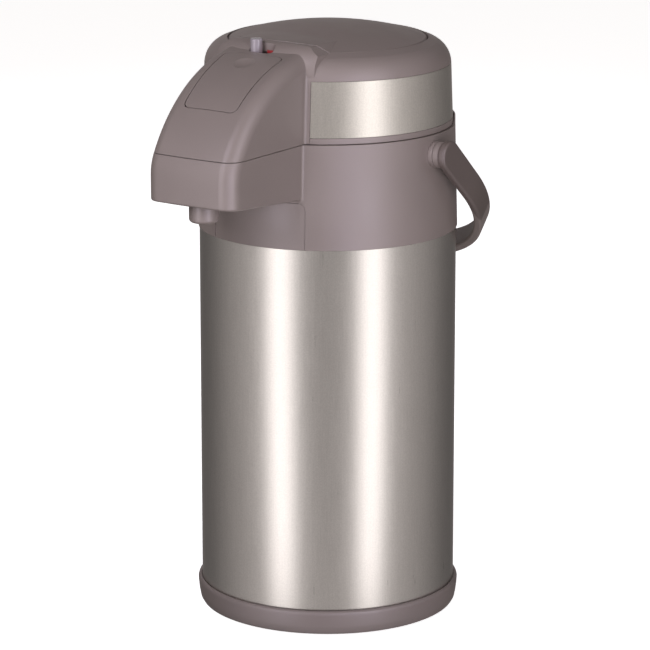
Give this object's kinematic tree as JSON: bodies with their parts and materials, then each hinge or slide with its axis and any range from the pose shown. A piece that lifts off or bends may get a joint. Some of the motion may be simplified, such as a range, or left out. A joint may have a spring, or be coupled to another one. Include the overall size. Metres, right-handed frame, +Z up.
{
  "type": "thermal coffee airpot",
  "caption": "Insulated steel pump pot with a spout nose, press-plate lid, sliding pump lock, lid release lever and a swinging bail handle.",
  "frame": {"origin": "on the flask's axis, at the surface the pot stands on", "axes": "+Z up, -Y towards the spout, +X to the right when the pot is seen from its spout side with the spout nearest (handle pivots lie along X)"},
  "size_m": [0.195, 0.2591, 0.3943],
  "materials": {
    "shell_plastic": "satin, very fine grain, warm taupe grey",
    "knob_plastic": "gloss, light grey",
    "casing_steel": "satin stainless steel, brushed upright",
    "band_steel": "satin stainless steel",
    "flask_steel": "drawn stainless steel, half bright",
    "hardware_steel": "plated steel",
    "spring_steel": "drawn wire",
    "inner_plastic": "dark grey moulded plastic",
    "tip_plastic": "satin taupe grey",
    "foot_rubber": "matt black rubber",
    "seal_silicone": "milky silicone"
  },
  "bodies": {
    "body": {"base_cover": "shell_plastic", "base_screws": "hardware_steel", "foot_ring": "foot_rubber", "flask_support": "inner_plastic", "flask_cushion": "foot_rubber", "outer_casing": "casing_steel", "flask_outer_wall": "flask_steel", "flask_outer_bottom": "flask_steel", "flask_inner_wall": "flask_steel", "flask_inner_shoulder": "flask_steel", "flask_inner_bottom": "flask_steel", "neck_gasket": "seal_silicone", "inner_deck": "inner_plastic", "deck_screws": "hardware_steel", "collar": "shell_plastic", "under_spout_panel": "shell_plastic", "hinge_bracket": "inner_plastic", "hinge_screws": "hardware_steel", "lid_hinge_pin": "hardware_steel", "handle_bushes": "shell_plastic", "handle_pins": "hardware_steel", "siphon_cap": "inner_plastic", "cap_seal": "seal_silicone", "spill_valve_ball": "hardware_steel", "dip_tube": "flask_steel", "spout_conduit": "inner_plastic", "outlet_tip": "tip_plastic", "latch_catch": "inner_plastic"},
    "lid": {"lid_housing": "shell_plastic", "lid_band": "band_steel", "lid_inner_cover": "inner_plastic", "lid_screws": "hardware_steel", "air_seal": "seal_silicone", "air_valve": "seal_silicone", "bellows": "seal_silicone", "pump_spring": "spring_steel", "plate_hinge_pin": "hardware_steel", "lever_pin": "hardware_steel", "lever_spring": "spring_steel", "slider_retainer": "inner_plastic"},
    "plate": {"press_plate": "shell_plastic", "thrust_cup": "inner_plastic"},
    "knob": {"lock_knob": "knob_plastic"},
    "lever": {"release_lever": "shell_plastic"},
    "handle": {"bail_handle": "shell_plastic"}
  },
  "joints": [
    {"name": "lid_hinge", "type": "hinge", "parent": "body", "child": "lid", "pos_m": [0, 0.09, 0.334], "axis": [-1, 0, 0], "range_deg": [0, 85]},
    {"name": "press_plate_hinge", "type": "hinge", "parent": "lid", "child": "plate", "pos_m": [0, 0.055, 0.376], "axis": [1, 0, 0], "range_deg": [0, 11], "stiffness_Nm_per_rad": 6, "springref_deg": -8.59, "deforming": ["bellows", "pump_spring"]},
    {"name": "lock_slide", "type": "slide", "parent": "lid", "child": "knob", "axis": [1, 0, 0], "range_m": [0, 0.0095]},
    {"name": "release_lever_pivot", "type": "hinge", "parent": "lid", "child": "lever", "pos_m": [0, -0.1061, 0.3695], "axis": [-1, 0, 0], "range_deg": [0, 7], "stiffness_Nm_per_rad": 0.6, "springref_deg": -8.59},
    {"name": "handle_pivot", "type": "hinge", "parent": "body", "child": "handle", "pos_m": [0, -0.0005, 0.316], "axis": [1, 0, 0], "range_deg": [0, 150]}
  ]
}
